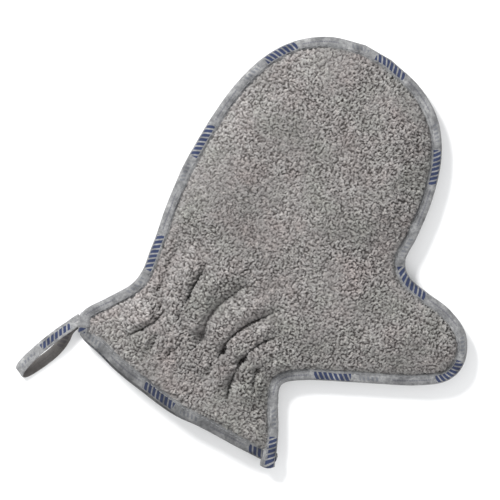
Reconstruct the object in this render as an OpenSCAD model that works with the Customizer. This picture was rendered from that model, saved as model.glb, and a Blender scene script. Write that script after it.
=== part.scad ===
// Plush wash mitt with a thumb, a taped edge, a gathered wrist and a hanging loop.
// It lies flat on its palm: +Y to the fingertips, +X to the thumb, +Z up, all in millimetres.
// The origin is the middle of the whole mitt's footprint, at the height of the surface it lies on.

/* [Panels] */
// Height of the seam plane, where the two panels meet, above the surface
seam_z = 11; // [10:0.5:14]
// Full thickness of one plush panel, cloth and pile together
plush_t = 6.5; // [5:0.5:8]
// Thickness of a panel where the tape squeezes it
flange_t = 2; // [1.5:0.1:2.5]
// How far the pocket's ceiling rises above the seam plane
back_rise = 9; // [6:0.5:12]
// Distance over which a panel swells to its full height, measured inwards from the tape
swell_w = 32; // [24:1:36]
// Rise of the pocket at the wrist, as a share of the rise over the hand
wrist_share = 0.86; // [0.7:0.02:0.92]
// Extra length of the palm panel's hem on the side away from the thumb
palm_hem_extra = 2; // [0:0.5:6]

/* [Tape] */
// Finished width of the folded binding tape
tape_w = 7.5; // [6:0.5:8]
// Thickness of the tape
tape_t = 0.9; // [0.7:0.1:1.2]
// Gap left between two layers of cloth
cloth_gap = 0.15; // [0.1:0.05:0.3]
// Thickness of a sewn thread
thread_d = 0.6; // [0.5:0.1:0.8]

/* [Elastic] */
// Width of the wrist elastic
elastic_w = 6; // [5:0.5:8]
// Thickness of the wrist elastic
elastic_t = 1; // [0.8:0.1:1.2]
// Waves of the zigzag stitch on one elastic
zigzag_count = 26; // [16:1:36]

/* [Hanging loop] */
// Width of the loop's tape
loop_w = 7.5; // [6:0.5:8]
// Thickness of the loop's tape, which is folded double
loop_t = 1.1; // [0.9:0.1:1.2]
// Number of thread bars in the bartack
bartack_bars = 6; // [4:1:7]

/* [Hidden] */

plush_grey = [0.56, 0.54, 0.53];
palm_grey = [0.52, 0.50, 0.49];
tape_grey = [0.60, 0.61, 0.63];
elastic_white = [0.86, 0.86, 0.84];
thread_grey = [0.42, 0.43, 0.46];

// The side outline's outer edge, hem to fingertip, away from the thumb.
left_points = [
    [-80, 4], [-83.5, 17], [-74, 33], [-65, 48], [-63, 60], [-65, 73], [-67, 86],
    [-69.5, 98], [-71.5, 110], [-73, 122], [-74, 130], [-74.3, 136], [-74.5, 141],
    [-74.5, 147], [-74.5, 155], [-74, 172], [-71.5, 196], [-64.5, 221], [-52, 241],
    [-33, 255.5], [-10, 262.5]];
// The same edge on the thumb's side, point for point level with the first list.
right_points = [
    [77.5, -8.5], [68.5, 12], [58.5, 29], [54.5, 41], [66, 51], [88, 62.5], [110, 73.5],
    [132, 85], [148, 98], [151.5, 114], [143, 130.5], [126, 139], [107, 141.5],
    [92, 144.5], [84, 153], [83, 170], [79.5, 196], [71, 223], [56, 244],
    [35, 256.5], [10, 262.5]];
// Pieces between two outline points, and columns of points across a panel.
curve_steps = 3;
columns = 22;
// The hem's bow away from the hand: its depth, how far it leans from the thumb, and how it fades.
hem_bow = 7.5;
hem_bow_skew = 0.9;
hem_fade_rows = 10;
hem_fade_power = 1.4;
// Roundness of a panel's swelling sides.
swell_power = 2.3;
// Behind the hem tape the plush starts, and reaches its full thickness over this much more.
hem_plush_start = 3;
hem_plush_growth = 16;
hem_plush_power = 0.7;
// The tape's outer corners are cut off by this much.
tape_corner = 0.4;
// The elastic lies along the grid line from the outline's fourth point.
wrist_point = 3;

edge_inset = tape_t + cloth_gap;
flange_w = tape_w + 1;
palm_rise = seam_z - cloth_gap / 2 - plush_t;
wrist_row = wrist_point * curve_steps;
rows = (len(left_points) - 1) * curve_steps;

// One point on a smooth curve through b and c; a and d are the neighbours.
function curve_point(a, b, c, d, t) = 0.5 * (2 * b + (c - a) * t + (2 * a - 5 * b + 4 * c - d) * t * t
    + (3 * b - a - 3 * c + d) * t * t * t);
// A smooth curve through all the points, in steps pieces between each two.
function smooth(pts, steps) = [
    for (k = [0 : len(pts) - 2])
        for (i = [0 : steps - 1])
            curve_point(pts[max(k - 1, 0)], pts[k], pts[k + 1], pts[min(k + 2, len(pts) - 1)], i / steps),
    pts[len(pts) - 1]];
function reversed(list) = [for (i = [len(list) - 1 : -1 : 0]) list[i]];
function unit(v) = v / norm(v);
function clamp01(v) = min(max(v, 0), 1);
function mix(a, b, t) = a + (b - a) * t;
// Direction along a list of points at its point i.
function along(pts, i) = unit(pts[min(i + 1, len(pts) - 1)] - pts[max(i - 1, 0)]);
// The same turned a quarter clockwise, which points inwards on the outline.
function inward(pts, i) = let (t = along(pts, i)) [t[1], -t[0]];
function segment_distance(p, a, b) = let (ab = b - a, t = clamp01(((p - a) * ab) / (ab * ab)))
    norm(p - a - t * ab);

left_edge = smooth(left_points, curve_steps);
right_edge = smooth(right_points, curve_steps);
outline = concat(left_edge, reversed(right_edge));
function edge_distance(p) = min([for (i = [0 : len(outline) - 2])
    segment_distance(p, outline[i], outline[i + 1])]);

// Plan grid of a panel: rows of points from the left edge to the right edge, hem to fingertip.
function outline_in(i, depth) = outline[i] + depth * inward(outline, i);
function column_share(j) = 0.5 - 0.5 * cos(180 * (j - 1) / (columns - 2));
function bow(share) = hem_bow * sin(180 * pow(share, hem_bow_skew));
function plan_row(i, extra) =
    let (a0 = outline_in(i, edge_inset), a1 = outline_in(i, flange_w),
         last = len(outline) - 1 - i,
         b0 = outline_in(last, edge_inset), b1 = outline_in(last, flange_w),
         fade = pow(max(1 - i / hem_fade_rows, 0), hem_fade_power))
    [a0, for (j = [1 : columns - 1]) let (s = column_share(j))
        mix(a1, b1, s) - [0, fade * (bow(s) + extra * sin(180 * s) * (1 - s))], b0];
function plan_grid(extra) = [for (i = [0 : rows]) plan_row(i, extra)];

back_plan = plan_grid(0);
palm_plan = plan_grid(2 * palm_hem_extra);
back_depth = [for (row = back_plan) [for (p = row) edge_distance(p)]];
palm_depth = [for (row = palm_plan) [for (p = row) edge_distance(p)]];

// Share of the full rise at depth d inside the outline.
function swell(d) = let (v = clamp01((d - flange_w) / swell_w)) 1 - pow(1 - v, swell_power);
// Its change from the hem, past the elastic, to the hand, as [place along Y, share].
girth_profile = [[16, wrist_share + 0.04], [42, wrist_share], [62, wrist_share + 0.1], [100, 1]];
function girth(y) = lookup(y, girth_profile);
// Plush grows from flange to full thickness behind the tape, at the sides and at the hem.
function plush(d, e) = flange_t + (plush_t - flange_t) * swell(d)
    * pow(clamp01((e - tape_w - hem_plush_start) / hem_plush_growth), hem_plush_power);
function back_inner_z(p, d) = seam_z + cloth_gap / 2 + back_rise * swell(d) * girth(p[1]);
function palm_inner_z(p, d) = seam_z - cloth_gap / 2 - palm_rise * swell(d) * girth(p[1]);

function row_point(p, z) = [p[0], p[1], z];
function inner_sheet(plan, depth, side) = [for (i = [0 : rows]) [for (j = [0 : columns])
    let (p = plan[i][j], d = depth[i][j])
    row_point(p, side > 0 ? back_inner_z(p, d) : palm_inner_z(p, d))]];
function outer_sheet(plan, depth, side) = [for (i = [0 : rows]) [for (j = [0 : columns])
    let (p = plan[i][j], d = depth[i][j], t = plush(d, norm(p - plan[0][j])))
    row_point(p, side > 0 ? back_inner_z(p, d) + t : palm_inner_z(p, d) - t)]];

// Last row of a sheet, on the straight top of the outline, between the two edge points.
function cap_row(sheet) = let (last = sheet[rows], n = columns - 2)
    [for (j = [1 : n - 1]) mix(last[0], last[columns], j / n)];

function flatten(lists) = [for (l = lists) for (v = l) v];
function flipped(faces) = [for (f = faces) reversed(f)];
// Faces of one sheet, with its first point at index base; they look up.
function sheet_faces(base) =
    let (w = columns + 1, cap = base + (rows + 1) * w, n = columns - 2, last = base + rows * w,
         top = concat([last], [for (j = [0 : n - 2]) cap + j], [last + columns]))
    concat(
        [for (i = [0 : rows - 1]) for (j = [0 : columns - 1]) let (k = base + i * w + j)
            each [[k, k + w, k + w + 1], [k, k + w + 1, k + 1]]],
        [for (j = [0 : n - 1]) each [[last + j + 1, top[j], top[j + 1]],
            [last + j + 1, top[j + 1], last + j + 2]]]);
// The rim of a sheet in order: up the left edge, over the top, down the right edge, along the hem.
function rim(base) =
    let (w = columns + 1, cap = base + (rows + 1) * w, n = columns - 2)
    concat([for (i = [0 : rows]) base + i * w], [for (j = [0 : n - 2]) cap + j],
        [for (i = [rows : -1 : 0]) base + i * w + columns], [for (j = [columns - 1 : -1 : 1]) base + j]);

// A closed panel between two sheets, upper over lower.
module panel(upper, lower) {
    points = concat(flatten(upper), cap_row(upper), flatten(lower), cap_row(lower));
    base = (rows + 1) * (columns + 1) + columns - 3;
    a = rim(0);
    b = rim(base);
    n = len(a);
    side = [for (i = [0 : n - 1]) let (k = (i + 1) % n) each [[a[i], b[i], b[k]], [a[i], b[k], a[k]]]];
    polyhedron(points, concat(sheet_faces(0), flipped(sheet_faces(base)), side), convexity = 10);
}

// A closed solid swept through rings of points, each ring with the same count.
// cap splits the end face of a ring that isn't convex into convex pieces.
module sweep(rings, cap = []) {
    n = len(rings[0]);
    last = (len(rings) - 1) * n;
    end = len(cap) > 0 ? cap : [[for (i = [0 : n - 1]) i]];
    walls = [for (r = [0 : len(rings) - 2]) for (i = [0 : n - 1])
        let (k = r * n + i, m = r * n + (i + 1) % n) each [[k, m, m + n], [k, m + n, k + n]]];
    far_end = [for (f = end) [for (i = f) last + i]];
    polyhedron(flatten(rings), concat(walls, flipped(end), far_end), convexity = 10);
}

// The hanging loop: a strap that runs out, folds over and comes back below itself.
loop_heading = unit([-0.38, -0.925]);
loop_across = [-loop_heading[1], loop_heading[0]];
loop_pivot = [-86, 4.6, 7.1];
loop_route = [
    [0.7, 0, 0.85], [4, -0.3, 1.9], [10, -0.6, 3.1], [18, -0.6, 3.3], [27, -0.3, 2.6], [36, 0.6, 1.2],
    [42, 1.8, -0.6], [45, 3.2, -2.6], [45.4, 4.6, -4.6], [43, 5.9, -6], [37.5, 6.8, -6.5],
    [28, 7.2, -6.5], [19, 7, -6.4], [12, 5.8, -5.6], [6, 3.4, -3.6], [2.6, 1.3, -1.7], [0.7, 0.3, -0.75]];
// The route's points are [outwards from the pivot, across, up from the pivot].
function loop_place(q) = loop_pivot + [q[0] * loop_heading[0] + q[1] * loop_across[0],
    q[0] * loop_heading[1] + q[1] * loop_across[1], q[2]];
loop_curve = smooth(loop_route, curve_steps);
loop_rings = [for (i = [0 : len(loop_curve) - 1])
    let (t = along(loop_curve, i), face = unit([-t[2], 0, t[0]]), side = [0, loop_w / 2, 0])
    [for (c = [[-1, 1], [1, 1], [1, -1], [-1, -1]])
        loop_place(loop_curve[i] + c[0] * side + c[1] * loop_t / 2 * face)]];

// The middle of the footprint, which becomes the origin.
edge_points = concat(flatten(loop_rings), outline);
far_x = [for (p = edge_points) p[0]];
far_y = [for (p = edge_points) p[1]];
middle = [(min(far_x) + max(far_x)) / 2, (min(far_y) + max(far_y)) / 2, 0];

back_upper = outer_sheet(back_plan, back_depth, 1);
back_lower = inner_sheet(back_plan, back_depth, 1);
palm_upper = inner_sheet(palm_plan, palm_depth, -1);
palm_lower = outer_sheet(palm_plan, palm_depth, -1);

module back_panel() {
    color(plush_grey) translate(-middle) panel(back_upper, back_lower);
}

module palm_panel() {
    color(palm_grey) translate(-middle) panel(palm_upper, palm_lower);
}

// Half the height of the two squeezed panels inside the edge tape.
edge_half = cloth_gap / 2 + flange_t + cloth_gap;

function edge_ring(i) =
    let (p = outline[i], n = inward(outline, i), h = edge_half,
         at = function (depth, z) row_point(p + depth * n, seam_z + z))
    [at(tape_w, h), at(tape_t, h), at(tape_t, -h), at(tape_w, -h),
     at(tape_w, -h - tape_t), at(tape_corner, -h - tape_t), at(0, -h), at(0, h),
     at(tape_corner, h + tape_t), at(tape_w, h + tape_t)];

// Convex pieces of the U-shaped end faces.
edge_cap = [[0, 1, 8, 9], [1, 7, 8], [1, 2, 6, 7], [2, 5, 6], [2, 3, 4, 5]];
hem_cap = [[0, 1, 12, 13], [1, 2, 11, 12], [2, 10, 11], [2, 3, 9, 10], [3, 8, 9], [3, 4, 7, 8],
           [4, 5, 6, 7]];

module edge_binding() {
    rings = [for (i = [len(outline) - 1 : -1 : 0]) edge_ring(i)];
    color(tape_grey) translate(-middle) sweep(rings, edge_cap);
}

// Room between a hem tape and its panel.
hem_gap = 0.35;

// One ring of a hem tape: it follows the panel's two faces at three depths from the hem.
function hem_ring(plan, j, side) =
    let (hem = plan[0], p = hem[j], t = along(hem, j), n = [-t[1], t[0]],
         z = function (depth, face) let (q = p + depth * n, d = edge_distance(q),
             zi = side > 0 ? back_inner_z(q, d) : palm_inner_z(q, d))
             (face * side > 0 ? zi + side * flange_t : zi) + face * hem_gap,
         at = function (depth, face, up) row_point(p + depth * n, z(max(depth, 0), face) + face * up),
         front = -hem_gap, reach = tape_w - tape_t)
    [at(reach, 1, 0), at(reach / 2, 1, 0), at(front, 1, 0), at(front, -1, 0), at(reach / 2, -1, 0),
     at(reach, -1, 0), at(reach, -1, tape_t), at(reach / 2, -1, tape_t), at(front, -1, tape_t),
     at(front - tape_t, -1, 0), at(front - tape_t, 1, 0), at(front, 1, tape_t),
     at(reach / 2, 1, tape_t), at(reach, 1, tape_t)];

hem_first = 4;
hem_last = columns - 4;

module back_hem_binding() {
    color(tape_grey) translate(-middle)
        sweep([for (j = [hem_first : hem_last]) hem_ring(back_plan, j, 1)], hem_cap);
}

module palm_hem_binding() {
    color(tape_grey) translate(-middle)
        sweep([for (j = [hem_first : hem_last]) hem_ring(palm_plan, j, -1)], hem_cap);
}

// Wrist elastics: a flat strip under the back panel and one over the palm panel.
elastic_first = 5;
elastic_last = columns - 5;
elastic_gap = 0.45;

function wrist_z(p, side) = let (d = edge_distance(p))
    side > 0 ? back_inner_z(p, d) - elastic_gap : palm_inner_z(p, d) + elastic_gap;
function elastic_ring(plan, j, side) =
    let (line = plan[wrist_row], p = line[j], t = along(line, j), n = [-t[1], t[0]],
         a = p - n * elastic_w / 2, b = p + n * elastic_w / 2, up = -side * elastic_t,
         ring = [row_point(a, wrist_z(a, side)), row_point(b, wrist_z(b, side)),
                 row_point(b, wrist_z(b, side) + up), row_point(a, wrist_z(a, side) + up)])
    side > 0 ? ring : reversed(ring);

module back_wrist_elastic() {
    color(elastic_white) translate(-middle)
        sweep([for (j = [elastic_first : elastic_last]) elastic_ring(back_plan, j, 1)]);
}

module palm_wrist_elastic() {
    color(elastic_white) translate(-middle)
        sweep([for (j = [elastic_first : elastic_last]) elastic_ring(palm_plan, j, -1)]);
}

// A thread laid along 3D points, with a square section turned on its corner.
module thread(route) {
    r = thread_d / 2;
    sweep([for (i = [0 : len(route) - 1])
        let (t = along(route, i), s = unit(cross(t, [0, 0, 1])), u = cross(s, t), p = route[i])
        [p + r * s, p + r * u, p - r * s, p - r * u]]);
}

// Rows of stitching run this far inside the tape's fold, clear of the cloth below them.
stitch_depth = tape_w - 1.5;
stitch_clearance = 0.1;
stitch_lift = thread_d / 2 + stitch_clearance;
// Extra room under the threads that cross a panel's curve.
hem_stitch_room = 0.15;
zigzag_room = 0.35;
// The zigzag turns this far inside the elastic's edges.
zigzag_margin = 1;

module edge_stitching() {
    level = edge_half + tape_t + stitch_lift;
    color(thread_grey) translate(-middle)
        for (side = [1, -1])
            thread([for (i = [0 : len(outline) - 1])
                row_point(outline_in(i, stitch_depth), seam_z + side * level)]);
}

function hem_thread(plan, side) = [for (j = [hem_first : hem_last])
    let (hem = plan[0], t = along(hem, j), n = [-t[1], t[0]], q = hem[j] + (stitch_depth - tape_t) * n,
         d = edge_distance(q),
         zi = side > 0 ? back_inner_z(q, d) : palm_inner_z(q, d))
    row_point(q, zi + side * (flange_t + hem_gap + tape_t + stitch_lift + hem_stitch_room))];

module back_hem_stitching() {
    color(thread_grey) translate(-middle) thread(hem_thread(back_plan, 1));
}

module palm_hem_stitching() {
    color(thread_grey) translate(-middle) thread(hem_thread(palm_plan, -1));
}

// Zigzag thread on the free face of an elastic.
function zigzag(plan, side) =
    let (line = plan[wrist_row], a = line[elastic_first + 1], b = line[elastic_last - 1],
         t = unit(b - a), n = [-t[1], t[0]], half = elastic_w / 2 - zigzag_margin)
    [for (k = [0 : 2 * zigzag_count])
        let (s = k / (2 * zigzag_count), mid = wrist_line_point(line, s),
             p = mid + n * half * (k % 2 == 0 ? 1 : -1))
        row_point(p, wrist_z(p, side) - side * (elastic_t + stitch_lift + zigzag_room))];
// Point at share s of the way along the wrist line, between the elastic's end stations.
function wrist_line_point(line, s) =
    let (u = elastic_first + 1 + s * (elastic_last - elastic_first - 2), k = min(floor(u), columns - 1))
    mix(line[k], line[k + 1], u - k);

module back_elastic_stitching() {
    color(thread_grey) translate(-middle) thread(zigzag(back_plan, 1));
}

module palm_elastic_stitching() {
    color(thread_grey) translate(-middle) thread(zigzag(palm_plan, -1));
}

module hanging_loop() {
    color(tape_grey) translate(-middle) sweep(loop_rings);
}

// The loop's sewn-in ends, a flat tab under the tape's corner.
anchor_back = -8.5;
anchor_front = -2.2;
anchor_bottom = -loop_t / 2 - 0.1;
loop_turn = atan2(loop_heading[1], loop_heading[0]);
// The bartack's margin to the tab's edges, and the distance between its bars.
bartack_margin = 0.8;
bartack_pitch = thread_d + 0.15;

module loop_anchor() {
    color(tape_grey) translate(loop_pivot - middle) rotate([0, 0, loop_turn])
        translate([anchor_back, -loop_w / 2, anchor_bottom])
            cube([anchor_front - anchor_back, loop_w, loop_t]);
}

module loop_bartack() {
    first = anchor_front - bartack_margin;
    length = loop_w - 2 * bartack_margin;
    color(thread_grey) translate(loop_pivot - middle) rotate([0, 0, loop_turn])
        for (k = [0 : bartack_bars - 1])
            translate([first - k * bartack_pitch, -length / 2, anchor_bottom - stitch_lift])
                rotate([-90, 0, 0])
                    cylinder(d = thread_d, h = length, $fn = 16);
}

back_panel();
palm_panel();
edge_binding();
back_hem_binding();
palm_hem_binding();
back_wrist_elastic();
palm_wrist_elastic();
hanging_loop();
loop_anchor();
loop_bartack();
edge_stitching();
back_hem_stitching();
palm_hem_stitching();
back_elastic_stitching();
palm_elastic_stitching();
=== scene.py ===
import math

import bpy
import numpy as np
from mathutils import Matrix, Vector


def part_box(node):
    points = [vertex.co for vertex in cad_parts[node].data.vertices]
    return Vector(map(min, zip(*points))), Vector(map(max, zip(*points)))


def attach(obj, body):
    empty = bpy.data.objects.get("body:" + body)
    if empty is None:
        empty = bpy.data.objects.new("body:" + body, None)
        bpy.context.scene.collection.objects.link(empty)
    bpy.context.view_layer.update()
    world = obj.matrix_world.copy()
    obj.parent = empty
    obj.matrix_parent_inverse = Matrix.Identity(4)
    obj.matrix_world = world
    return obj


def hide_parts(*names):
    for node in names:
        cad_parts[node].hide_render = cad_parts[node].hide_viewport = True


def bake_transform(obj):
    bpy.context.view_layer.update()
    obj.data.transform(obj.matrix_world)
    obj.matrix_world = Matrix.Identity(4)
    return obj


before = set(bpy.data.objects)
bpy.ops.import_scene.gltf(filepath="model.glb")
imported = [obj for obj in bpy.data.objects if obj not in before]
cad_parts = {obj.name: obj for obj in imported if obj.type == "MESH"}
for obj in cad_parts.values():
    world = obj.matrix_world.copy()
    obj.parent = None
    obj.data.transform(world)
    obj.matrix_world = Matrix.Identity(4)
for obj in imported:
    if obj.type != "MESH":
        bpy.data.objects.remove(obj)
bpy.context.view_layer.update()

MM = 0.001

# ---- Driving sizes, in millimetres, on the mitt's own drafting grid ----
SEAM_Z = 11.0
BACK_RISE = 9.0
FLANGE_T = 2.0
PLUSH_T = 6.5
CLOTH_GAP = 0.15
PALM_RISE = SEAM_Z - CLOTH_GAP / 2 - PLUSH_T
SWELL_W = 32.0
SWELL_POWER = 2.3
# The rise's share at places along the mitt: least at the wrist, full over the hand.
GIRTH_Y = (16, 42, 62, 100)
GIRTH_SHARE = (0.9, 0.86, 0.96, 1.0)
# Part of the pile's thickness that is left for the tufts.
TUFT_ROOM = 1.4
FLANGE_W = 8.5
TAPE_W = 7.5
TAPE_T = 0.9
TAPE_HALF = 3.1
THREAD_D = 0.6
LOOP_W = 7.5
LOOP_T = 1.1

# The outer edge of the tape, hem to fingertip, on the little finger's side and on the thumb's.
LEFT_POINTS = [
    (-80, 4), (-83.5, 17), (-74, 33), (-65, 48), (-63, 60), (-65, 73), (-67, 86),
    (-69.5, 98), (-71.5, 110), (-73, 122), (-74, 130), (-74.3, 136), (-74.5, 141),
    (-74.5, 147), (-74.5, 155), (-74, 172), (-71.5, 196), (-64.5, 221), (-52, 241),
    (-33, 255.5), (-10, 262.5)]
RIGHT_POINTS = [
    (77.5, -8.5), (68.5, 12), (58.5, 29), (54.5, 41), (66, 51), (88, 62.5), (110, 73.5),
    (132, 85), (148, 98), (151.5, 114), (143, 130.5), (126, 139), (107, 141.5),
    (92, 144.5), (84, 153), (83, 170), (79.5, 196), (71, 223), (56, 244),
    (35, 256.5), (10, 262.5)]
BACK_HEM = [(-80, 4), (-72, 1.6), (-60, -0.6), (-48, -3.6), (-36, -5.8), (-24, -7.4), (-10, -9.3),
            (0, -10.3), (8, -10.6), (18, -9.8), (30, -9.6), (44, -9.5), (60, -8.9), (77.5, -8.5)]
PALM_HEM = [(-80, 4), (-72, 0.4), (-60, -2.2), (-48, -5.6), (-36, -7.9), (-24, -9.5), (-10, -11.4),
            (0, -12.2), (8, -12.1), (18, -10.9), (30, -10.3), (44, -10), (60, -9.2), (77.5, -8.5)]
WRIST_LINE = [(-63, 52), (-52, 49), (-40, 46.4), (-27, 46), (-12.5, 41.5), (10, 41), (24, 41.2),
              (33, 40.6), (44, 40.6), (55, 41)]
# Where the elastic pinches the plush.
PINCHES = [(-52, 48.5), (-40.4, 46.4), (-27.4, 46.4), (-12.5, 41), (-1, 41.5), (10, 41.2),
           (24.2, 41.4), (33.3, 40.6), (44, 41)]
# Folds that run from the elastic, as (points from the pinch outwards, depth, width).
FOLDS = [
    ([(-27.4, 45), (-27.8, 58), (-28.2, 72), (-28.2, 92)], 7.4, 2.7),
    ([(-8.6, 44), (-9.5, 55), (-7, 68), (-1, 82), (5, 98)], 6.0, 4.6),
    ([(-46, 50), (-48, 62), (-50, 78), (-50, 96)], 3.6, 5.0),
    ([(10.4, 40), (8.2, 45.6), (10.6, 54.4), (17.5, 68), (32, 87)], 7.4, 2.8),
    ([(23.5, 41), (25.8, 51.6), (30.3, 60.4), (36.5, 70)], 7.0, 2.5),
    ([(-40.4, 46), (-43, 54), (-47, 66)], 3.4, 3.0),
    ([(34, 41), (38, 48), (45, 57)], 3.4, 2.7),
    ([(-35.4, 44), (-40, 33), (-46, 23), (-53, 12)], 6.2, 2.7),
    ([(-24, 45), (-22, 39), (-17, 31), (-20, 22), (-20, 11)], 4.8, 2.7),
    ([(-6, 42), (-8, 33), (-12, 24)], 3.6, 2.8),
    ([(22.5, 41), (23.5, 32), (25, 22), (30, 9)], 7.2, 2.7),
    ([(34, 41), (36.5, 34), (42, 25)], 5.4, 2.4),
    ([(10, 40), (7, 31), (10, 18)], 3.2, 2.8),
    ([(-42, 40), (-34, 31), (-33, 20), (-36, 8)], 3.4, 4.6),
    ([(44, 41), (47, 30), (50, 18)], 3.8, 3.0)]

# The hanging loop: its root, its heading on the plan, and its route as (out, across, up).
LOOP_PIVOT = np.array((-86.0, 4.6, 7.1))
LOOP_HEADING = np.array((-0.38, -0.925, 0.0)) / np.hypot(0.38, 0.925)
LOOP_ACROSS = np.array((-LOOP_HEADING[1], LOOP_HEADING[0], 0.0))
LOOP_ROUTE = [
    (-9, 0.5, 1.2), (-5, 0.2, 0.9), (-2, 0, 0.7), (0.7, 0, 0.85), (4, -0.3, 1.9), (10, -0.6, 3.1),
    (18, -0.6, 3.3), (27, -0.3, 2.6), (36, 0.6, 1.2), (42, 1.8, -0.6), (45, 3.2, -2.6), (45.4, 4.6, -4.6),
    (43, 5.9, -6), (37.5, 6.8, -6.4), (28, 7.2, -6.4), (19, 7, -6.2), (12, 5.8, -5.5), (6, 3.6, -3.6),
    (2.6, 1.8, -1.9), (-1, 1, -0.8), (-6, 0.8, -0.4)]

# ---- Curves and fields ----


def smooth(points, steps):
    """A Catmull-Rom curve through all the points, with steps pieces between each two."""
    p = np.array(points, float)
    ends = np.vstack([2 * p[0] - p[1], p, 2 * p[-1] - p[-2]])
    t = np.linspace(0, 1, steps, endpoint=False)[:, None]
    parts = []
    for k in range(len(p) - 1):
        a, b, c, d = ends[k : k + 4]
        parts.append(0.5 * (2 * b + (c - a) * t + (2 * a - 5 * b + 4 * c - d) * t**2
                            + (3 * b - a - 3 * c + d) * t**3))
    return np.vstack(parts + [p[-1:]])


def evenly(curve, pitch):
    """The same curve with points pitch apart, and the length run at each."""
    run = np.concatenate([[0], np.cumsum(np.linalg.norm(np.diff(curve, axis=0), axis=1))])
    count = max(2, int(round(run[-1] / pitch)) + 1)
    at = np.linspace(0, run[-1], count)
    return np.stack([np.interp(at, run, curve[:, k]) for k in range(curve.shape[1])], 1), at


def directions(curve):
    step = np.gradient(curve, axis=0)
    return step / np.linalg.norm(step, axis=1)[:, None]


def scatter(i, j, k):
    """A repeatable random number from 0 to 1 for each whole i, j and k."""
    value = np.sin(i * 127.1 + j * 311.7 + k * 74.7) * 43758.5453
    return value - np.floor(value)


def noise(x, y, cell, seed):
    """Smooth random relief from -1 to 1, with features about cell wide."""
    u, v = np.asarray(x) / cell, np.asarray(y) / cell
    i, j = np.floor(u), np.floor(v)
    fu, fv = u - i, v - j
    su, sv = fu * fu * (3 - 2 * fu), fv * fv * (3 - 2 * fv)
    low = scatter(i, j, seed) * (1 - su) + scatter(i + 1, j, seed) * su
    high = scatter(i, j + 1, seed) * (1 - su) + scatter(i + 1, j + 1, seed) * su
    return 2 * (low * (1 - sv) + high * sv) - 1


def smoothstep(v):
    v = np.clip(v, 0, 1)
    return v * v * (3 - 2 * v)


def distance_to(x, y, curve):
    """Distance from each point to a curve, and how far along it the nearest point lies, from 0 to 1."""
    best = np.full(x.shape, 1e9)
    share = np.zeros(x.shape)
    run = np.concatenate([[0], np.cumsum(np.linalg.norm(np.diff(curve, axis=0), axis=1))])
    for k in range(len(curve) - 1):
        a, d = curve[k], curve[k + 1] - curve[k]
        t = np.clip(((x - a[0]) * d[0] + (y - a[1]) * d[1]) / max(d @ d, 1e-12), 0, 1)
        gap = np.hypot(x - a[0] - t * d[0], y - a[1] - t * d[1])
        near = gap < best
        best[near] = gap[near]
        share[near] = ((run[k] + t * (run[k + 1] - run[k])) / run[-1])[near]
    return best, share


def inside(x, y, polygon):
    odd = np.zeros(x.shape, bool)
    for a, b in zip(polygon, np.roll(polygon, -1, axis=0)):
        if a[1] == b[1]:
            continue
        odd ^= ((a[1] > y) != (b[1] > y)) & (x < (b[0] - a[0]) * (y - a[1]) / (b[1] - a[1]) + a[0])
    return odd


# Corners of the plan area that the panels' lattices cover.
PLAN_LOW = (-90, -18)
PLAN_HIGH = (156, 266)


class Field:
    """Values on a square lattice over the mitt, read anywhere between its points."""

    STEP = 1.0
    X0, X1, Y0, Y1 = -96.0, 165.0, -27.0, 276.0
    xs = np.arange(X0, X1, STEP)
    ys = np.arange(Y0, Y1, STEP)
    X, Y = np.meshgrid(xs, ys)

    def __init__(self, values):
        self.values = values

    def __call__(self, x, y):
        u = np.clip((x - self.X0) / self.STEP, 0, len(self.xs) - 1.001)
        v = np.clip((y - self.Y0) / self.STEP, 0, len(self.ys) - 1.001)
        i, j = u.astype(int), v.astype(int)
        u, v, f = u - i, v - j, self.values
        return ((f[j, i] * (1 - u) + f[j, i + 1] * u) * (1 - v)
                + (f[j + 1, i] * (1 - u) + f[j + 1, i + 1] * u) * v)


OUTLINE = np.vstack([smooth(LEFT_POINTS, 8), smooth(RIGHT_POINTS, 8)[::-1]])
SIDE_DEPTH = distance_to(Field.X, Field.Y, OUTLINE)[0]
WRIST = smooth(WRIST_LINE, 6)


def hem_fields(hem_points):
    """Depth inside the side outline and inside the hem, both negative outside the panel."""
    hem = smooth(hem_points, 6)
    sign = np.where(inside(Field.X, Field.Y, np.vstack([OUTLINE, hem[::-1]])), 1, -1)
    return Field(SIDE_DEPTH * sign), Field(distance_to(Field.X, Field.Y, hem)[0] * sign)


DEPTHS = {"back": hem_fields(BACK_HEM), "palm": hem_fields(PALM_HEM)}
FROM_SIDE = Field(SIDE_DEPTH)

# ---- The panels' large shape ----


def swell(depth):
    return 1 - (1 - np.clip((depth - FLANGE_W) / SWELL_W, 0, 1)) ** SWELL_POWER


def girth(y):
    return np.interp(y, GIRTH_Y, GIRTH_SHARE)


def pillow(gap, reach):
    """The sunk share of a plump surface at a gap from the crease where it turns under."""
    t = 1 - np.clip(gap / reach, 0, 1)
    return 1 - np.sqrt(1 - t * t)


def fold_relief():
    """How far the gathers sink or lift the plush, over the whole lattice."""
    x, y = Field.X, Field.Y
    near_wrist = distance_to(x, y, WRIST)[0]
    ragged = near_wrist + 1.6 * noise(x, y, 9, 41)
    relief = -2.4 * np.exp(-((ragged / 4.2) ** 2))
    relief += 2.3 * np.exp(-(((near_wrist - 13) / 8.5) ** 2))
    for px, py in PINCHES:
        relief -= 2.6 * pillow(np.hypot(x - px, y - py), 8.0)
    for points, depth, width in FOLDS:
        gap, share = distance_to(x, y, smooth(points, 5))
        gap = np.abs(gap + 0.5 * noise(x, y, 5, 43))
        reach = (1 - smoothstep((share - 0.6) / 0.4)) * depth
        relief -= reach * (0.62 * pillow(gap, 3.4 * width) + 0.38 * np.exp(-((gap / (0.5 * width)) ** 2)))
        relief += 0.4 * reach * np.exp(-(((gap - 3.0 * width) / (1.9 * width)) ** 2))
    return Field(np.clip(relief, -6.6, 4.6))


GATHERS = fold_relief()


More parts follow.
